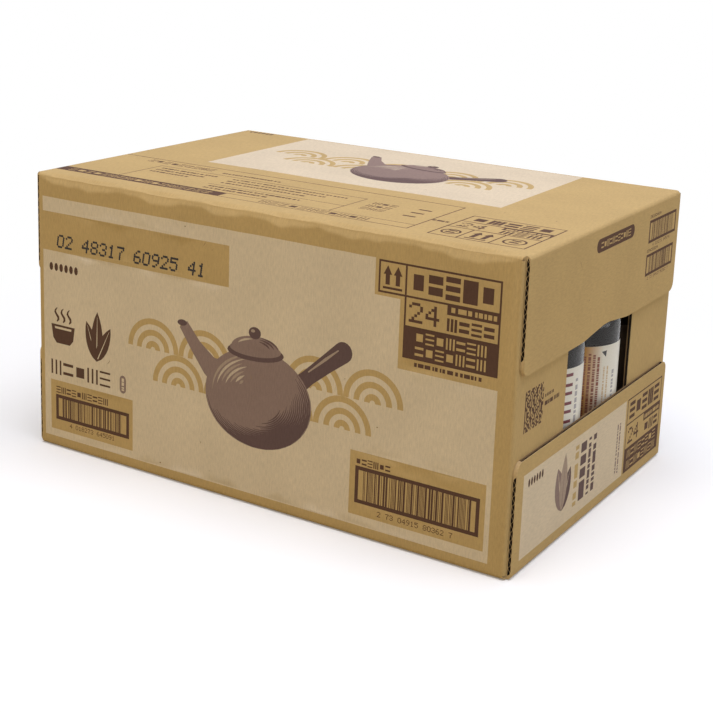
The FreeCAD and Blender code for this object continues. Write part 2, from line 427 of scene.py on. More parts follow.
def arrows(face, left, top, right, bottom):
    """The two upright arrows over a bar that say which side is up."""
    width, height = right - left, bottom - top
    inset = 0.12 * width
    box("brown", face, left + inset, bottom - 0.17 * height, right - inset, bottom - 0.09 * height)
    half = 0.17 * width
    stem = 0.085 * width
    tip = top + 0.1 * height
    neck = tip + 1.9 * half
    for middle in (left + 0.3 * width, left + 0.7 * width):
        paint("brown", face, [(middle, tip), (middle + half, neck), (middle - half, neck)])
        box("brown", face, middle - stem, neck, middle + stem, bottom - 0.24 * height)


def scallops(face, left, base, radius=24, across=5):
    """Two rows of overlapping plain rings, a common wave pattern, in bare board on the pale ink."""
    for row in range(2):
        for index in range(across - row):
            middle = (left + radius * (1 + row + index * 2), base + row * radius)
            paint("pale", face, ellipse(middle, (radius, radius), 180, 360, 20))
            for share in (1.0, 0.64, 0.28):
                outer, inner = radius * share, radius * (share - 0.19)
                arc = ellipse(middle, (outer, outer), 180, 360, 20)
                paint("kraft", face, arc + ellipse(middle, (inner, inner), 360, 180, 20))


def leaf(ink, face, root, tip, width, vein=None):
    """A pointed leaf from its root to its tip."""
    root, tip = Vector(root), Vector(tip)
    across = (tip - root).orthogonal().normalized() * width
    near, far = [], []
    for part in range(9):
        share = part / 8
        bulge = across * (sin(pi * share ** 0.85) ** 0.8 if 0 < share < 1 else 0.0)
        near.append(tuple(root.lerp(tip, share) + bulge))
        far.append(tuple(root.lerp(tip, share) - bulge))
    paint(ink, face, near + far[-2:0:-1])
    if vein:
        middle = [tuple(root.lerp(tip, share)) for share in (0.08, 0.5, 0.9)]
        band(vein, face, middle, [width * 0.16, width * 0.12, 0.2])


def cup(face, left, top, size):
    """A small handleless cup with steam, in the dark ink."""
    def at(u, v):
        return left + u * size, top + v * size
    bowl = ((0.08, 0.48), (0.92, 0.48), (0.86, 0.86), (0.74, 1.0), (0.26, 1.0), (0.14, 0.86))
    shine = ((0.2, 0.54), (0.8, 0.54), (0.79, 0.6), (0.21, 0.6))
    paint("brown", face, [at(*point) for point in bowl])
    paint("pale", face, [at(*point) for point in shine])
    for start in (0.28, 0.5, 0.72):
        line = [at(start + 0.06 * sin(part * 1.1), 0.40 - part * 0.065) for part in range(7)]
        band("brown", face, line, [size * w for w in (0.03, 0.07, 0.08, 0.07, 0.07, 0.05, 0.02)])


def teapot(face, left, top, size, turn):
    """A side-handled teapot in soft brown tones, drawn in a square of the given size."""
    middle = Vector((left + size / 2, top + size / 2))
    spin = Matrix.Rotation(radians(turn), 2)

    def placed(points):
        return [tuple(middle + spin @ (Vector(point) * size)) for point in points]

    def shape(ink, *oval, **arc):
        paint(ink, face, placed(ellipse(*oval, **arc)))

    def line(ink, points, widths):
        band(ink, face, placed(points), [width * size for width in widths])

    def stroke(ink, centre, radii, share, start, finish, pieces, thin, swell):
        """A line along a ring of the pot or the lid, thin at both ends."""
        arc = ellipse(centre, (radii[0] * share, radii[1] * share), start, finish, pieces)
        line(ink, arc, [thin + swell * sin(pi * part / pieces) for part in range(pieces + 1)])

    dice = random.Random(12)
    pot, pot_radii = (0, 0.1), (0.31, 0.25)
    lid, lid_radii = (0, -0.15), (0.14, 0.06)
    line("tone", [(-0.18, 0.02), (-0.28, -0.03), (-0.36, -0.12), (-0.43, -0.22)], [0.17, 0.11, 0.075, 0.06])
    shape("tone_dark", (-0.437, -0.226), (0.03, 0.016), pieces=14)
    line("tone_dark", [(0.2, 0.03), (0.3, -0.05), (0.4, -0.125), (0.49, -0.19)], [0.09, 0.075, 0.085, 0.1])
    shape("tone_dark", (0.495, -0.194), (0.05, 0.05), pieces=18)
    line("tone_light", [(0.3, -0.075), (0.4, -0.15), (0.47, -0.2)], [0.006, 0.014, 0.006])
    shape("tone", pot, pot_radii, pieces=48)
    for row in range(16):
        start, finish = -38 + row * 4 + dice.uniform(-6, 6), 172 - row * 7 + dice.uniform(-9, 9)
        swell = 0.0125 - row * 0.0005
        stroke("tone_dark", pot, pot_radii, 0.97 - row * 0.035, start, finish, 14, 0.002, swell)
    for row in range(7):
        start, finish = 188 + row * 5 + dice.uniform(-5, 5), 262 - row * 4 + dice.uniform(-6, 6)
        ink = "tone_pale" if row % 2 else "tone_light"
        stroke(ink, pot, pot_radii, 0.86 - row * 0.075, start, finish, 10, 0.001, 0.012)
    shape("tone_dark", (0, -0.13), (0.165, 0.045), pieces=28)
    shape("tone", (0, -0.145), (0.15, 0.038), pieces=28)
    shape("tone", lid, lid_radii, 180, 360, 20)
    for share in (0.95, 0.78, 0.6):
        stroke("tone_dark", lid, lid_radii, share, 285, 352, 8, 0.001, 0.009)
    stroke("tone_pale", lid, (0.11, 0.045), 1, 205, 262, 8, 0.001, 0.009)
    shape("tone_dark", (0, -0.225), (0.036, 0.03), pieces=18)
    shape("tone_light", (-0.01, -0.235), (0.012, 0.008), pieces=10)


LONG_NUMBER = "4 018273 645091"  # chance numbers under the bar codes
CASE_NUMBER = "2 73 04915 80362 7"


def front_print(face, seed):
    """The print of a long side: pale field, waves, teapot, bar codes and the box of marks."""
    dice = random.Random(seed)
    field = [(8.4 + part * 12.5, 17.7 + dice.uniform(-0.15, 0.15)) for part in range(25)]
    field += [(308.4, 43), (328.2, 43), (328.2, 91), (402.8, 91), (402.8, 211.4), (8.4, 211.4)]
    paint("pale", face, field)
    box("kraft", face, 8.4, 29.1, 187.4, 59.7)
    digits("black", face, "02 48317 60925 41", 22, 46.0, 10.4, 8.5, dot=1.3, slant=0.16)
    dots(face, 16.5, 72.3, (1.9, 3.3), 5.1)
    scallops(face, 94, 120)
    cup(face, 13.5, 104.5, 29)
    for tip, width in (((52, 110), 5.2), ((63, 101), 5.8), ((76, 112), 5.2)):
        leaf("brown", face, (62, 141), tip, width, "pale")
    marks("brown", face, 14.2, 147.6, 76.6, 159.6, 5, seed + 2, 0.13)
    pill = ellipse((88.4, 150.2), (3.2, 3.5), 180, 360, 8) + ellipse((88.4, 157.6), (3.2, 3.5), 0, 180, 8)
    paint("tone", face, pill)
    words("pale", face, 87.2, 149, 89.6, 159, 1.6, seed + 12, True)
    teapot(face, 138, 48, 150, turn=-4)
    box("kraft", face, 14.6, 164.4, 98.3, 205.3)
    number = (LONG_NUMBER, 34, 198.0, 3.6, 3.1)
    barcode(face, 19.7, 176, 94.7, 196.7, 2.8, (19.7, 169.2, 73.6, 174.6), number, seed + 3)
    box("kraft", face, 293.7, 156.8, 399, 203.8)
    number = (CASE_NUMBER, 317, 197.0, 3.9, 3.3)
    barcode(face, 298.3, 167.4, 395, 194.7, 2.8, (298.3, 161.4, 326.5, 166.4), number, seed + 4)
    frame_box("brown", face, 311.0, 18.2, 332.8, 40.8, 1.4)
    arrows(face, 312.2, 19.5, 331.6, 39.6)
    frame_box("brown", face, 331.4, 18.2, 402.2, 40.8, 1.4)
    marks("brown", face, 335, 21.6, 399, 37.4, 5, seed + 5, 0.24)
    frame_box("brown", face, 331.4, 39.4, 402.2, 61.4, 1.4)
    digits("brown", face, "24", 335, 43.4, 13.8, 12.5)
    box("brown", face, 363.5, 39.4, 402.2, 47.2)
    words("kraft", face, 366.5, 41.8, 399.5, 45.2, 3.6, seed + 7)
    marks("brown", face, 363, 49.4, 399, 58.2, 4, seed + 8, 0.2)
    box("brown", face, 331.4, 60.3, 402.2, 82.6)
    marks("kraft", face, 340, 62.9, 394, 70.7, 7, seed + 9, 0.15)
    marks("kraft", face, 340, 72.6, 394, 80.2, 7, seed + 10, 0.15)
    words("brown", face, 340.6, 84.6, 391, 87.4, 2.6, seed + 11)


def top_print(face):
    """The print of the top: pale field, waves, teapot, a ruled table and the box of marks."""
    box("pale", face, 71.5, 7.1, 337.6, 155.4)
    scallops(face, 86, 80)
    teapot(face, 150, 12, 138, turn=8)
    dots(face, 11, 10.9, (1.6, 3.0), 4.4)
    frame_box("brown", face, 1.5, 173.7, 319, 259.5, 1.0)
    for rule in (
        (55.4, 194, 247.9, 194.8), (247.9, 194, 248.7, 246.8), (126, 225.5, 247.9, 226.3),
        (1.5, 246.3, 319, 247.1), (55.4, 194, 56.2, 246.8),
    ):
        box("brown", face, *rule)
    marks("brown", face, 33.3, 178.2, 99.8, 186.4, 9, 31, 0.15)
    words("brown", face, 110.8, 185.5, 166.3, 188.5, 2.6, 32)
    for row in range(3):
        words("brown", face, 62, 200 + row * 7.5, 118 - row * 9, 203 + row * 7.5, 3.2, 33 + row)
        words("brown", face, 132, 201 + row * 7.5, 236 - row * 14, 203.6 + row * 7.5, 3.0, 43 + row)
    words("brown", face, 132, 231, 214, 234, 3.0, 51)
    words("brown", face, 132, 238, 190, 241, 3.0, 52)
    for row in range(3):
        marks("brown", face, 259, 200.5 + row * 9.5, 280, 207 + row * 9.5, 3, 53 + row, 0.14)
    marks("brown", face, 295, 200.5, 307.3, 226.5, 1, 56, 0.1)
    box("brown", face, 1.5, 247.1, 160, 258.5)
    marks("kraft", face, 12, 249.2, 150, 256.6, 17, 57, 0.13)
    marks("brown", face, 193.5, 249.2, 285, 256.6, 11, 58, 0.13)
    words("brown", face, 319.4, 222.6, 332, 226.0, 3.4, 59)
    frame_box("brown", face, 335.5, 193.5, 407, 262, 1.1)
    box("brown", face, 335.5, 212.8, 407, 213.9)
    marks("brown", face, 340, 197.4, 402, 210.2, 5, 60, 0.22)
    box("brown", face, 369.8, 213.9, 407, 220.4)
    words("kraft", face, 372, 215.7, 405, 218.7, 3.4, 61)
    digits("brown", face, "24", 340, 217.5, 12.4, 11)
    marks("brown", face, 372, 222.2, 403, 231.2, 3, 62, 0.2)
    box("brown", face, 335.5, 233.2, 407, 234.3)
    for left, right, ring in ((336.6, 356.2, 7.2), (357.3, 379.9, 0), (381.0, 405.9, 8.4)):
        box("brown", face, right, 234.3, right + 1.1, 262)
        if not ring:
            arrows(face, left + 1, 235.5, right - 1, 260)
            continue
        middle = (left + right) / 2
        for ink, radius in (("brown", ring), ("kraft", ring - 1.6)):
            paint(ink, face, ellipse((middle, 248), (radius, radius)))
        for level in (243.4, 248.4):
            box("brown", face, middle - 3.4, level, middle + 3.4, level + 2.8)


def module_code(face, left, top, size, cells, seed):
    """A square field of chance modules, with no finder marks, so that it encodes nothing."""
    dice = random.Random(seed)
    step = size / cells
    for row in range(cells):
        column = 0
        while column < cells:
            run = min(dice.choice((1, 1, 2, 3)), cells - column)
            start = left + column * step
            box("brown", face, start, top + row * step, start + run * step, top + (row + 1) * step)
            column += run + dice.choice((1, 1, 2))


def end_print(side, seed):
    """The print of an end's flaps: a tag and bar codes, a square code, leaves and the box of marks."""
    upper, lower, inner = end_faces(side)
    tag = ellipse((116.7, 14.6), (5.0, 5.0), 90, 270, 10) + ellipse((176.8, 14.6), (5.0, 5.0), 270, 450, 10)
    paint("brown", upper, tag)
    marks("kraft", upper, 119, 12.1, 175, 17.3, 11, seed + 1, 0.14)
    number = (LONG_NUMBER, 222, 31.9, 2.4, 2.5)
    barcode(upper, 212.8, 13.4, 270, 31.0, 2.1, (213, 9.4, 236, 11.8), number, seed + 2)
    number = (CASE_NUMBER, 216, 57.3, 2.4, 2.5)
    barcode(upper, 211.2, 39.6, 268, 56.4, 2.1, (211.4, 35.6, 234, 38.0), number, seed + 3)
    module_code(inner, 15.6, 93.5, 28.8, 21, seed + 4)
    words("brown", inner, 47, 103.4, 61.5, 105.6, 2.2, seed + 5)
    words("brown", inner, 47, 108.6, 71.7, 111.6, 2.8, seed + 6)
    box("pale", lower, 14.7, 150.3, 195, 210.6)
    dots(lower, 23.6, 158.2, (1.5, 3.0), 4.2)
    leaf("tone", lower, (81, 199), (71, 164), 8.0, "pale")
    leaf("tone_dark", lower, (82, 199), (93, 169), 7.0, "pale")
    leaf("tone_light", lower, (81.5, 199), (83, 156), 6.2, "tone")
    words("kraft", lower, 100.5, 157, 106.5, 203, 6.4, seed + 7, True)
    for left, right, letter in ((110.5, 120.5, 9.0), (124.5, 129.0, 4.0), (133.0, 138.5, 5.4)):
        words("tone_dark", lower, left, 158, right, 202, letter, seed + int(left), True)
    for left in (179.6, 184.2):
        words("tone", lower, left, 165, left + 2.2, 205.3, 2.6, seed + int(left), True)
    frame_box("brown", lower, 198, 150.3, 270.6, 210.6, 1.1)
    box("brown", lower, 198, 170.6, 270.6, 171.7)
    marks("brown", lower, 202, 154.2, 266.5, 167.6, 5, seed + 9, 0.22)
    box("brown", lower, 234.6, 171.7, 270.6, 178.2)
    words("kraft", lower, 237, 173.5, 268.6, 176.5, 3.4, seed + 10)
    digits("brown", lower, "24", 203, 175.2, 12.6, 12)
    marks("brown", lower, 237, 180, 267, 188.6, 3, seed + 11, 0.2)
    box("brown", lower, 198, 190.8, 270.6, 210.6)
    marks("kraft", lower, 203.5, 193.2, 265, 199.8, 8, seed + 12, 0.13)
    marks("kraft", lower, 203.5, 202.0, 265, 208.6, 8, seed + 13, 0.13)


# ---- materials ----

INKS = {  # colour of the paper or ink, linear
    "kraft": (0.53, 0.363, 0.152), "pale": (0.70, 0.575, 0.405), "brown": (0.098, 0.048, 0.029),
    "tone": (0.27, 0.185, 0.155), "tone_dark": (0.125, 0.076, 0.070), "tone_light": (0.40, 0.30, 0.225),
    "tone_pale": (0.56, 0.45, 0.33), "black": (0.035, 0.032, 0.035), "edge": (0.56, 0.40, 0.20),
    # the near-black ink of the cut edges' hollows and channels is painted shade, not the paper's colour
    "flute": (0.022, 0.015, 0.011), "scuff": (0.30, 0.19, 0.09), "inside": (0.50, 0.36, 0.18),
}


class Shader:
    """The nodes of a material or world, with short ways to add and join them."""

    def __init__(self, owner):
        owner.use_nodes = True
        self.owner = owner
        self.nodes = owner.node_tree.nodes
        self.links = owner.node_tree.links

    def put(self, node, inputs):
        """Sets inputs of a node, or joins them to outputs. Colours come without their alpha."""
        for name, value in inputs.items():
            socket = node.inputs[name]
            if isinstance(value, bpy.types.NodeSocket):
                self.links.new(value, socket)
            elif socket.type == "RGBA":
                socket.default_value = (*value, 1)
            else:
                socket.default_value = value

    def surface(self, inputs):
        """Sets the inputs of a material's main shader, and returns the material."""
        self.put(self.nodes["Principled BSDF"], inputs)
        return self.owner

    def add(self, kind, output, inputs=None, **settings):
        """Adds a node and returns the output that is asked for."""
        node = self.nodes.new("ShaderNode" + kind)
        for name, value in settings.items():
            setattr(node, name, value)
        self.put(node, inputs or {})
        return node.outputs[output]

    def on_blank(self):
        return self.add("Attribute", "Vector", attribute_name="blank")

    def on_object(self):
        return self.add("TexCoord", "Object")

    def noise(self, source, scale, detail, stretch=None):
        """A noise texture on the source vector, drawn out by stretch."""
        if stretch:
            source = self.add("Mapping", "Vector", {"Vector": source, "Scale": stretch})
        return self.add("TexNoise", "Fac", {"Vector": source, "Scale": scale, "Detail": detail})

    def remap(self, value, low, high, from_low=0.3, from_high=0.7):
        """Carries a value from one range to another. Noise lies mostly between 0.3 and 0.7."""
        inputs = {"Value": value, "From Min": from_low, "From Max": from_high, "To Min": low, "To Max": high}
        return self.add("MapRange", "Result", inputs)

    def math(self, operation, *values):
        return self.add("Math", "Value", dict(enumerate(values)), operation=operation)

    def times(self, *values):
        return self.math("MULTIPLY", *values)

    def mix(self, factor, first, second, blend="MIX"):
        inputs = {"Factor": factor, "A": first, "B": second}
        return self.add("Mix", "Result", inputs, data_type="RGBA", blend_type=blend)

    def shade(self, colour, value):
        """The colour times a grey value."""
        return self.mix(1.0, colour, value, "MULTIPLY")

    def bump(self, height, strength, distance):
        return self.add("Bump", "Normal", {"Height": height, "Strength": strength, "Distance": distance})

    def finish(self, factor, first, second, output):
        """Sends a mix of two shaders to the output node."""
        mixed = self.add("MixShader", "Shader", {"Fac": factor, 1: first, 2: second})
        self.put(self.nodes[output], {"Surface": mixed})

    def seen(self):
        """1 for rays that show a place to the camera, also in gloss and through clear plastic, else 0."""
        path = self.add("LightPath", "Is Camera Ray").node.outputs
        shown = self.math("MAXIMUM", path["Is Camera Ray"], path["Is Glossy Ray"])
        return self.math("MAXIMUM", shown, path["Is Transmission Ray"])


def new_look(name):
    return Shader(bpy.data.materials.new(name))


def paper(name, colour):
    """Corrugated board: fibres, mottled colour and a faint washboard over the flutes."""
    look = new_look("board_" + name)
    place = look.on_blank()
    fibres = look.noise(place, 900, 3, (1.0, 0.22, 1.0))
    fine = look.remap(fibres, 0.93, 1.07)
    speckled = look.remap(look.noise(place, 1500, 2), 0.955, 1.045)
    cloudy = look.remap(look.noise(place, 22, 3), 0.96, 1.035)
    across = look.add("SeparateXYZ", "X", {"Vector": place})
    wave = look.math("SINE", look.times(across, 2 * pi / (FLUTE * MM)))
    height = look.math("ADD", look.times(wave, 0.02), look.times(fibres, 0.10))
    return look.surface({
        "Base Color": look.shade(colour, look.times(look.times(fine, speckled), cloudy)),
        "Roughness": 0.86, "Specular IOR Level": 0.28, "Normal": look.bump(height, 0.5, 0.0006),
    })


def plastic(name, colour, roughness, grain, specular):
    """Moulded plastic or tea with a slight orange peel and uneven colour."""
    look = new_look(name)
    place = look.on_object()
    value = look.remap(look.noise(place, 60, 3), 1 - grain, 1 + grain)
    return look.surface({
        "Base Color": look.shade(colour, value), "Roughness": roughness,
        "Specular IOR Level": specular, "Normal": look.bump(look.noise(place, 500, 2), 0.15, 0.0003),
    })


# ---- the board as a mesh ----

class Mesh:
    """Vertices on the blank, shared by their place, and faces with an ink."""

    def __init__(self):
        self.places = []
        self.index = {}
        self.faces = []
        self.inks = []

    def vertex(self, *place):
        key = tuple(round(value, 3) for value in place)
        if key not in self.index:
            self.index[key] = len(self.places)
            self.places.append(place)
        return self.index[key]

    def face(self, ink, *corners):
        face = list(dict.fromkeys(self.vertex(*corner) for corner in corners))
        if len(face) > 2:
            self.faces.append(face)
            self.inks.append(ink)


def add_object(name, data):
    thing = bpy.data.objects.new(name, data)
    bpy.context.collection.objects.link(thing)
    return thing


def add_smooth(name, data):
    """Adds the object of a mesh, shaded smooth but for its sharp edges."""
    for polygon in data.polygons:
        polygon.use_smooth = True
    data.set_sharp_from_angle(angle=SHARP_EDGE)
    return add_object(name, data)


def weld_seam(data):
    """Joins the two ends of a wrapped sheet."""
    work = bmesh.new()
    work.from_mesh(data)
    bmesh.ops.remove_doubles(work, verts=work.verts, dist=0.00001)
    work.to_mesh(data)
    work.free()


def make_object(name, mesh, bend, materials, wrapped=False):
    """An object of a mesh on the blank, with its places carried into space by bend."""
    data = bpy.data.meshes.new(name)
    data.from_pydata([bend(*place) * MM for place in mesh.places], [], mesh.faces)
    for material in materials.values():
        data.materials.append(material)
    order = list(materials)
    for polygon, ink in zip(data.polygons, mesh.inks):
        polygon.material_index = order.index(ink)
    attribute = data.attributes.new("blank", "FLOAT_VECTOR", "POINT")
    attribute.data.foreach_set("vector", [value * MM for place in mesh.places for value in place])
    if wrapped:
        weld_seam(data)
    return add_smooth(name, data)


def area(points):
    return sum(a[0] * b[1] - b[0] * a[1] for a, b in ring_pairs(points)) / 2


def triangulate(outline, shapes, lines, loose):
    """Triangles inside the outline, each with the last shape over it; -1 where there is none."""
    points = [Vector(point) for point in outline]
    faces = [list(range(len(points)))]
    for shape in shapes:
        start = len(points)
        points += [Vector(point) for point in shape]
        ring = list(range(start, len(points)))
        faces.append(ring if area(shape) > 0 else ring[::-1])
    edges = []
    for line in lines:
        edges.append((len(points), len(points) + 1))
        points += [Vector(end) for end in line]
    points += [Vector(point) for point in loose]
    found = delaunay_2d_cdt(points, edges, faces, 0, 1e-4, True)
    triangles = []
    for triangle, owners in zip(found[2], found[5]):
        if 0 in owners:
            triangles.append((triangle, max(owners) - 1))
    return found[0], triangles


def fill(mesh, outline, prints, bare, lines, loose, depth):
    """Adds a printed sheet to the mesh and returns its points and triangles. The inner side faces in."""
    points, triangles = triangulate(outline, [shape for _, shape in prints], lines, loose)
    for triangle, owner in triangles:
        corners = [(*points[number], depth) for number in triangle]
        mesh.face(prints[owner][0] if owner >= 0 else bare, *(reversed(corners) if depth else corners))
    return points, triangles


def crease_lines():
    """Lines along every fold of the blank, so that a fold bends in even steps."""
    steps = [part / 4 for part in range(5)]
    reach, pad = SLEEVE_END + 6, 1.0
    lines = []
    for name, (start, end) in PANELS.items():
        if name == "tab":
            continue
        for step in steps:
            s = end + BEND * step
            lines.append(((-reach, s), (reach, s)))
        plane = end_plane((start + end) / 2)
        for step in steps:
            x = plane - FOLD_R + BEND * step
            for side in (-1, 1):
                lines.append(((side * x, start - pad), (side * x, end + pad)))
    return lines


def grid(step, jitter, seed):
    """Loose points over the blank, which carry its dents."""
    dice = random.Random(seed)
    far = LENGTH / 2 + 85
    points = []
    for column in range(int(2 * far / step)):
        for row in range(int(PANELS["tab"][1] / step)):
            x = -far + (column + 0.5) * step + dice.uniform(-jitter, jitter)
            points.append((x, (row + 0.5 * (column % 2) + 0.25) * step))
    return points


def fold_rows():
    """Loose points in close rows along the pressed fold."""
    start = PANELS["front"][1]
    rows = [start - 0.75 * row for row in range(12)] + [start - 11, start - 14]
    rows += [start + BEND * row / 4 for row in range(5)]
    rows += [start + BEND + away for away in (0.9, 1.8, 3.0, 4.5, 6.5, 9.0)]
    step = 2.5
    first = 4 - SLEEVE_END
    points = []
    for row, s in enumerate(rows):
        for column in range(int(-2 * first / step)):
            points.append((first + step * (column + 0.5 * (row % 2)), s))
    return points


def border(points, triangles):
    """The outline of the triangles as a closed path, with the outside on its right."""
    edges = {}
    for triangle, _ in triangles:
        edges.update(dict.fromkeys(ring_pairs(triangle)))
    ring = {a: b for a, b in edges if (b, a) not in edges}
    path = [next(iter(ring))]
    while ring[path[-1]] != path[0]:
        path.append(ring[path[-1]])
    return [points[number] for number in path]


def sides_of(path):
    """The path cut at its corners into straight or round sides."""
    corners = []
    for index, here in enumerate(path):
        before = (here - path[index - 1]).normalized()
        after = (path[(index + 1) % len(path)] - here).normalized()
        if before.dot(after) < 0.999:
            corners.append(index)
    sides = []
    for start, finish in zip(corners, corners[1:] + [corners[0] + len(path)]):
        sides.append([path[number % len(path)] for number in range(start, finish + 1)])
    return sides


def cut_side(mesh, profiles, inks):
    """Faces between each profile through the board's cut and the next, with an ink for each level."""
    for near, far in zip(profiles, profiles[1:]):
        for ink, *corners in zip(inks, near, near[1:], far[1:], far):
            mesh.face(ink, *corners)


def directions(side):
    """The directions along a straight side and from it into the board."""
    along = (side[-1] - side[0]).normalized()
    return along, Vector((-along.y, along.x))


def channel_side(mesh, side, dice):
    """A cut along the flutes: two liners with the cut wave between them, a little way in, its deep wall
    painted near black as shade.
    """
    _, inward = directions(side)
    rim, floor = LINER, THICK - LINER
    profiles = []
    for index, here in enumerate(side):
        deep = here + inward * (0 if index in (0, len(side) - 1) else dice.uniform(0.8, 1.8))
        levels = ((here, 0), (here, rim), (deep, rim), (deep, floor), (here, floor), (here, THICK))
        profiles.append([(*place, d) for place, d in levels])
    # the channel's deep wall takes the near-black painted shade
    cut_side(mesh, profiles, ("edge", "edge", "flute", "scuff", "scuff"))


def flute_side(mesh, side):
    """A cut across the flutes: the wave between the liners, with the hollows beside it painted near black as
    shade.
    """
    start = side[0]
    along, inward = directions(side)
    length = (side[-1] - start).length
    depth = 3.0  # how far the hollows are cut in
    wave_paper = 0.3
    margin = 1.0  # closed board at each end of the side
    joint = 0.55  # where the wave meets a liner, on each side
    swing = THICK - 2 * LINER - wave_paper

    def at(e, d, deep=0.0):
        return (*(start + along * e + inward * deep), d)

    outline = [((point - start).length, 0.0) for point in side]
    outline += [(e, THICK) for e, _ in reversed(outline)]
    hollows = []
    for half in range(int((length - 2 * margin) / (FLUTE / 2)) - 1):
        left = margin + half * FLUTE / 2 + joint
        right = left + FLUTE - 2 * joint
        flat, up = (THICK - LINER, -1) if half % 2 else (LINER, 1)
        curve = []
        for part in range(1, 8):
            share = part / 8
            curve.append((left + (right - left) * share, flat + up * swing * sin(pi * share) ** 1.2))
        hollows.append([(right, flat), (left, flat)] + curve)
    points, triangles = triangulate(outline, hollows, [], [])
    for triangle, owner in triangles:
        hollow = owner >= 0
        corners = [at(*points[number], depth if hollow else 0.0) for number in reversed(triangle)]
        # the hollows take the near-black painted shade
        mesh.face("flute" if hollow else "edge", *corners)
    for hollow in hollows:
        ring = hollow if area(hollow) > 0 else hollow[::-1]
        for a, b in ring_pairs(ring):
            mesh.face("flute", at(*a), at(*b), at(*b, depth), at(*a, depth))


def is_open_edge(place):
    """Whether a cut across the flutes shows: the sides of the outer flaps and the back panel's edge."""
    if place.y < 0.01:
        return True
    on_flap = any(PANELS[name][0] < place.y < PANELS[name][1] + BEND for name in ("bottom", "top"))
    return on_flap and abs(place.x) > SLEEVE_END


def board():
    """The whole folded case as one piece of board with its print."""
    right = blank_outline()
    outline = rounded(right + [(-x, s, radius) for x, s, radius in reversed(right)])
    if area(outline) < 0:
        outline.reverse()
    mesh = Mesh()
    creases = crease_lines()
    loose = grid(step=7.5, jitter=1.0, seed=5) + fold_rows()
    path = border(*fill(mesh, outline, board_prints, "kraft", creases, loose, 0))
    fill(mesh, path, [], "inside", creases, grid(step=20, jitter=2.0, seed=6), THICK)
    dice = random.Random(7)
    for side in sides_of(path):
        run = side[-1] - side[0]
        shows = len(side) > 4 and run.length > SHORT_SIDE
        if shows and abs(run.x) < 0.01:
            channel_side(mesh, side, dice)
        elif shows and abs(run.y) < 0.01 and is_open_edge(max(side, key=lambda place: abs(place.x))):
            flute_side(mesh, side)
        else:
            cut_side(mesh, [[(*here, 0), (*here, THICK)] for here in side], ("edge",))
    return mesh


def scuffs(face, width, height, count, seed):
    """Small specks and scratches from handling, scattered over a face."""
    dice = random.Random(seed)
    for _ in range(count):
        u, v = dice.uniform(8, width - 8), dice.uniform(8, height - 8)
        if dice.random() < 0.65:
            size = dice.uniform(0.3, 0.8)
            paint("scuff", face, ellipse((u, v), (size, size * dice.uniform(0.5, 1.0)), pieces=6))
            continue
        lean = dice.uniform(0, pi)
        reach = dice.uniform(2, 7)
        across, down = reach * cos(lean) / 4, reach * sin(lean) / 4
        points = [(u + part * across + 0.3 * sin(part), v + part * down) for part in range(5)]
        band("scuff", face, points, [0.05, 0.3, 0.45, 0.25, 0.05])


front_print(on_front, 100)
front_print(on_back, 200)
top_print(on_top)
for side, seed in ((1, 300), (-1, 400)):
    end_print(side, seed)
    scuffs(end_faces(side)[0], WIDTH, 78, 7, seed + 50)
for face, height, seed in ((on_front, HEIGHT, 61), (on_back, HEIGHT, 62), (on_top, WIDTH, 63)):
    scuffs(face, LENGTH, height, 12, seed)
papers = {ink: paper(ink, colour) for ink, colour in INKS.items()}
case = make_object("printed_board", board(), fold, papers)
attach(case, "root")
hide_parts("carton")

# ---- the bottles ----

BODY_R = BODY_D / 2
BASE_H = 36.5
LABEL_H = 82.2
LABEL_T = 0.3
SHOULDER_Z = BASE_H + LABEL_H + 20.3
NECK_Z = SHOULDER_Z + 13.0
RING_Z = NECK_Z + 37.4
TEA_Z = RING_Z - 8.4
NECK_R = 13.6
TEA_NECK_R = 12.4
WALL = 0.45
INTO_WALL = 0.12  # how far the tea reaches into the bottle's wall
AROUND = pi * BODY_D
TURNS = 96  # sides of the tea's round
LABEL_SIDES = 120


def turned(name, corners, place, material):
    """A closed piece turned about an upright axis, from corners (radius, z, rounding) that start on it."""
    rings = [point for point in rounded(corners, 6.0) if point.x > 1e-6]
    places = []
    for point in rings:
        for turn in range(TURNS):
            angle = 2 * pi * turn / TURNS
            places.append((point.x * cos(angle), point.x * sin(angle), point.y))
    low_middle, high_middle = len(places), len(places) + 1
    places += [(0, 0, corners[0][1]), (0, 0, corners[-1][1])]
    last = (len(rings) - 1) * TURNS
    faces = []
    for turn in range(TURNS):
        following = (turn + 1) % TURNS
        for start in range(0, last, TURNS):
            faces.append((start + turn, start + following, start + TURNS + following, start + TURNS + turn))
        faces.append((low_middle, following, turn))
        faces.append((high_middle, last + turn, last + following))
    data = bpy.data.meshes.new(name)
    data.from_pydata([(Vector(at) + place) * MM for at in places], [], faces)
    data.materials.append(material)
    return add_smooth(name, data)


def tea_corners():
    """Half the section of the tea, from the middle of the base to the middle of its level."""
    inset = WALL - INTO_WALL
    wall = BODY_R - inset
    return [
        (0, 5 + inset, 0), (9, 5 + inset, 4.0), (21, inset, 2.0), (wall, inset, 6 - inset),
        (wall, 12, 0.8), (wall - 1.2, 14.5, 1.5), (wall, 17, 0.8),
        (wall, BASE_H, 0), (wall - LABEL_T, BASE_H, 0), (wall - LABEL_T, BASE_H + LABEL_H, 0),
        (wall, BASE_H + LABEL_H, 0), (wall, SHOULDER_Z, 28.5 - inset),
        (NECK_R - inset, NECK_Z, 9 + inset), (TEA_NECK_R + INTO_WALL, TEA_Z, 0), (0, TEA_Z, 0),
    ]


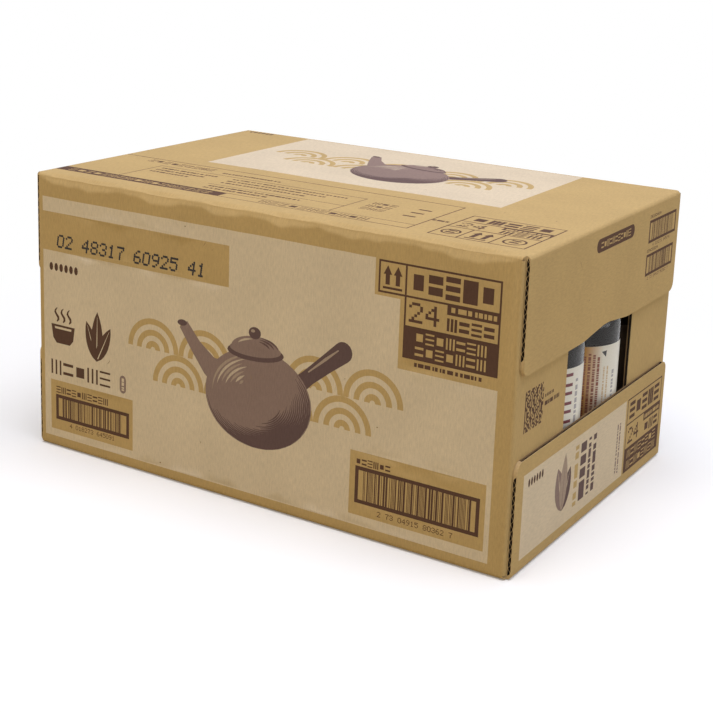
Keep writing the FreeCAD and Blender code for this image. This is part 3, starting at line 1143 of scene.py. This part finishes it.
def label_print():
    """The print of a bottle's label: two faces of large marks, and small columns between them."""
    face = on_label
    for middle in (-70, 70):
        for index in range(5):
            base, seed = 14 + index * 13.44, middle + 200 + index
            marks("label_red", face, middle - 6, base, middle + 6, base + 12, 1, seed, 0.13)
        words("label_grey", face, middle + 8.4, 12, middle + 11.6, 74, 4.4, middle + 300, True)
    for column in range(12):
        left = -39.5 + 3.7 * column
        words("label_brown", face, left, 14, left + 2.1, 77 - column % 3, 1.7, 400 + column, True)
    paint("label_dark", face, [(4.6, 77.8), (8.8, 73.4), (9.4, 78.4)])
    words("label_amber", face, 7.0, 20, 8.6, 66, 1.8, 420, True)
    words("label_amber", face, 10.6, 16, 12.2, 66, 1.8, 421, True)
    words("label_grey", face, 17.0, 10, 20.0, 62, 2.4, 422, True)
    leaf("label_dark", face, (33, 12), (28, 30), 3.2)
    leaf("label_amber", face, (33, 12), (38, 32), 3.6)


def label_sheet():
    """The flat printed sleeve of a bottle, cut upright into narrow strips, so that it bends evenly."""
    left, right = -AROUND / 2, AROUND / 2
    thick = LABEL_T - 0.05
    lines = []
    for part in range(1, LABEL_SIDES):
        u = left + AROUND * part / LABEL_SIDES
        lines.append(((u, 0), (u, LABEL_H)))
    outline = [(left, 0), (right, 0), (right, LABEL_H), (left, LABEL_H)]
    mesh = Mesh()
    points, _ = fill(mesh, outline, label_prints, "label_film", lines, [], 0)
    rims = []
    for level in (0.0, LABEL_H):
        rim = sorted({round(point.x, 3) for point in points if abs(point.y - level) < 1e-3})
        rims.append([(u, level) for u in rim])
        for a, b in zip(rim, rim[1:]):
            corners = [(a, level, 0), (a, level, thick), (b, level, thick), (b, level, 0)]
            mesh.face("label_film", *(reversed(corners) if level else corners))
    fill(mesh, rims[0] + rims[1][::-1], [], "label_film", lines, [], thick)
    return mesh


def round_bottle(foot, facing):
    """The bend of a sleeve round the bottle at foot. facing is the angle of the label's middle."""
    def bend(u, v, d):
        angle = facing + u / BODY_R
        radius = BODY_R - d
        return foot + Vector((radius * cos(angle), radius * sin(angle), BASE_H + v))
    return bend


def film(name, colour):
    """Printed label film: a soft gloss, with ink that thins towards one side of the label."""
    look = new_look(name)
    place = look.on_blank()
    if name == "label_film":
        around = look.add("SeparateXYZ", "X", {"Vector": place})
        rise = look.remap(around, 0.0, 1.0, -46 * MM, -40 * MM)
        fall = look.remap(around, 1.0, 0.0, -9 * MM, 6 * MM)
        colour = look.mix(look.times(rise, fall), colour, FILM_TINT)
    value = look.remap(look.noise(place, 900, 2), 0.96, 1.04)
    return look.surface({"Base Color": look.shade(colour, value), "Roughness": 0.34})


def clear_plastic():
    """The clear wall of a bottle."""
    look = new_look("bottle_clear")
    place = look.on_object()
    value = look.remap(look.noise(place, 35, 2), 0.98, 1.0)
    return look.surface({
        "Base Color": look.shade((0.93, 0.94, 0.93), value), "Transmission Weight": 1.0, "IOR": 1.36,
        "Roughness": look.remap(look.noise(place, 90, 3), 0.02, 0.07),
    })


def filled_bottle():
    """A hidden bottle of one solid: tea behind its clear wall, and its label between two heights, painted
    dark brown as the shade inside the case.
    """
    look = new_look("bottle_filled_painted_shade")
    place = look.on_object()
    up = look.add("SeparateXYZ", "Z", {"Vector": place})
    foot = (BOARD + BASE_H) * MM
    over = look.math("GREATER_THAN", up, foot)
    label = look.times(over, look.math("LESS_THAN", up, foot + LABEL_H * MM))
    # the label band's dark brown is painted shade of the closed case, not the label's own colour
    colour = look.mix(label, (0.032, 0.022, 0.018), (0.13, 0.095, 0.07))
    value = look.remap(look.noise(place, 45, 3), 0.9, 1.1)
    return look.surface({
        "Base Color": look.shade(colour, value), "Roughness": look.remap(label, 0.08, 0.36, 0.0, 1.0),
    })


def coat(node, material):
    node.data.materials.clear()
    node.data.materials.append(material)


LABEL_INKS = {
    "label_film": (0.80, 0.76, 0.655), "label_dark": (0.035, 0.03, 0.03), "label_red": (0.17, 0.03, 0.035),
    "label_brown": (0.26, 0.085, 0.05), "label_amber": (0.62, 0.45, 0.25), "label_grey": (0.36, 0.33, 0.32),
}
FILM_TINT = (0.56, 0.28, 0.05)  # the film's colour behind the small columns
LABEL_TURN = {"1_2": -0.9, "1_3": 1.7, "6_2": 1.67, "6_3": -0.66}  # chance turns of the bottles in the gaps

label_print()
films = {ink: film(ink, colour) for ink, colour in LABEL_INKS.items()}
bottle_clear = clear_plastic()
hidden_bottle_shaded = filled_bottle()
tea_dark = plastic("tea", (0.014, 0.009, 0.007), 0.10, 0.10, 0.12)
cap_plastic = plastic("cap_plastic", (0.16, 0.075, 0.05), 0.35, 0.04, 0.5)
for name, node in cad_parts.items():
    if name.startswith("bottle"):
        coat(node, bottle_clear if name[7:] in LABEL_TURN else hidden_bottle_shaded)
    elif name.startswith("cap"):
        coat(node, cap_plastic)
sheet = label_sheet()
for number, turn in LABEL_TURN.items():
    near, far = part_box("bottle_" + number)
    foot = Vector(((near[0] + far[0]) / 2, (near[1] + far[1]) / 2, near[2])) / MM
    tea = turned("tea_inside_" + number, tea_corners(), foot, tea_dark)
    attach(tea, "root")
    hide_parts("tea_" + number)
    outwards = 0 if foot.x > 0 else pi
    sleeve = make_object("label_sleeve_" + number, sheet, round_bottle(foot, outwards + turn), films, True)
    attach(sleeve, "root")
    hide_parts("label_" + number)

# ---- floor, light and camera ----

FLOOR_HALF = 6.0
FLOOR_Z = -0.0004
LAMP_TARGET = Vector((0, 0, 0.1))


def stage_floor():
    """A pale floor that fades to white away from the case and keeps its shadow."""
    data = bpy.data.meshes.new("floor")
    corners = [(x * FLOOR_HALF, y * FLOOR_HALF, FLOOR_Z) for x, y in ((-1, -1), (1, -1), (1, 1), (-1, 1))]
    data.from_pydata(corners, [], [(0, 1, 2, 3)])
    look = new_look("floor")
    place = look.add("NewGeometry", "Position")
    away = look.add("VectorMath", "Value", {0: place}, operation="LENGTH")
    far = look.remap(away, 0.0, 1.0, 0.30, 0.62)
    seen = look.seen()
    data.materials.append(look.surface({
        "Base Color": look.mix(seen, (0.50, 0.45, 0.33), (0.9, 0.89, 0.86)),
        "Roughness": 0.9, "Specular IOR Level": 0.0,
        "Emission Color": (1, 1, 1), "Emission Strength": look.times(seen, 0.14),
    }))
    ground = look.nodes["Principled BSDF"].outputs["BSDF"]
    look.finish(look.times(far, seen), ground, look.add("Emission", "Emission"), "Material Output")
    add_object("floor", data)


def light_world():
    """Soft light from all round, and a plain background where the camera sees past the floor."""
    world = bpy.data.worlds.new("studio")
    look = Shader(world)
    soft = look.nodes["Background"]
    look.put(soft, {"Color": (1, 1, 1), "Strength": 0.25})
    plain = look.add("Background", "Background", {"Strength": 1.0})
    look.finish(look.seen(), soft.outputs["Background"], plain, "World Output")
    bpy.context.scene.world = world


def lamp(name, place, size, power, colour):
    """A soft square lamp that points at the case."""
    data = bpy.data.lights.new(name, "AREA")
    data.shape = "SQUARE"
    data.size = size
    data.energy = power
    data.color = colour
    thing = add_object(name, data)
    thing.location = place
    thing.rotation_euler = (LAMP_TARGET - Vector(place)).to_track_quat("-Z", "Y").to_euler()


def make_camera():
    """The photograph's view: from the right of the front, a little above, rolled two degrees."""
    data = bpy.data.cameras.new("camera")
    data.sensor_width = 36.0
    data.lens = 72.92
    data.shift_y = -0.173
    data.clip_end = 50
    camera = add_object("camera", data)
    aside, down, roll = 31.47, 13.2, 2.06
    turn = Matrix.Rotation(radians(aside), 4, "Z") @ Matrix.Rotation(radians(90 - down), 4, "X")
    turn = turn @ Matrix.Rotation(radians(roll), 4, "Z")
    camera.matrix_world = Matrix.Translation((0.5726, -0.9398, 0.4362)) @ turn
    bpy.context.scene.camera = camera


stage_floor()
light_world()
lamp("top_lamp", (0.3, -0.3, 2.6), 2.4, 64, (0.96, 0.985, 1.13))
lamp("front_lamp", (-0.8, -2.6, 0.9), 1.6, 12.0, (1.05, 0.76, 0.25))
lamp("right_lamp", (2.6, 0.6, 0.9), 1.6, 14, (1.0, 1.0, 1.05))
make_camera()
bpy.context.scene.view_settings.view_transform = "Standard"
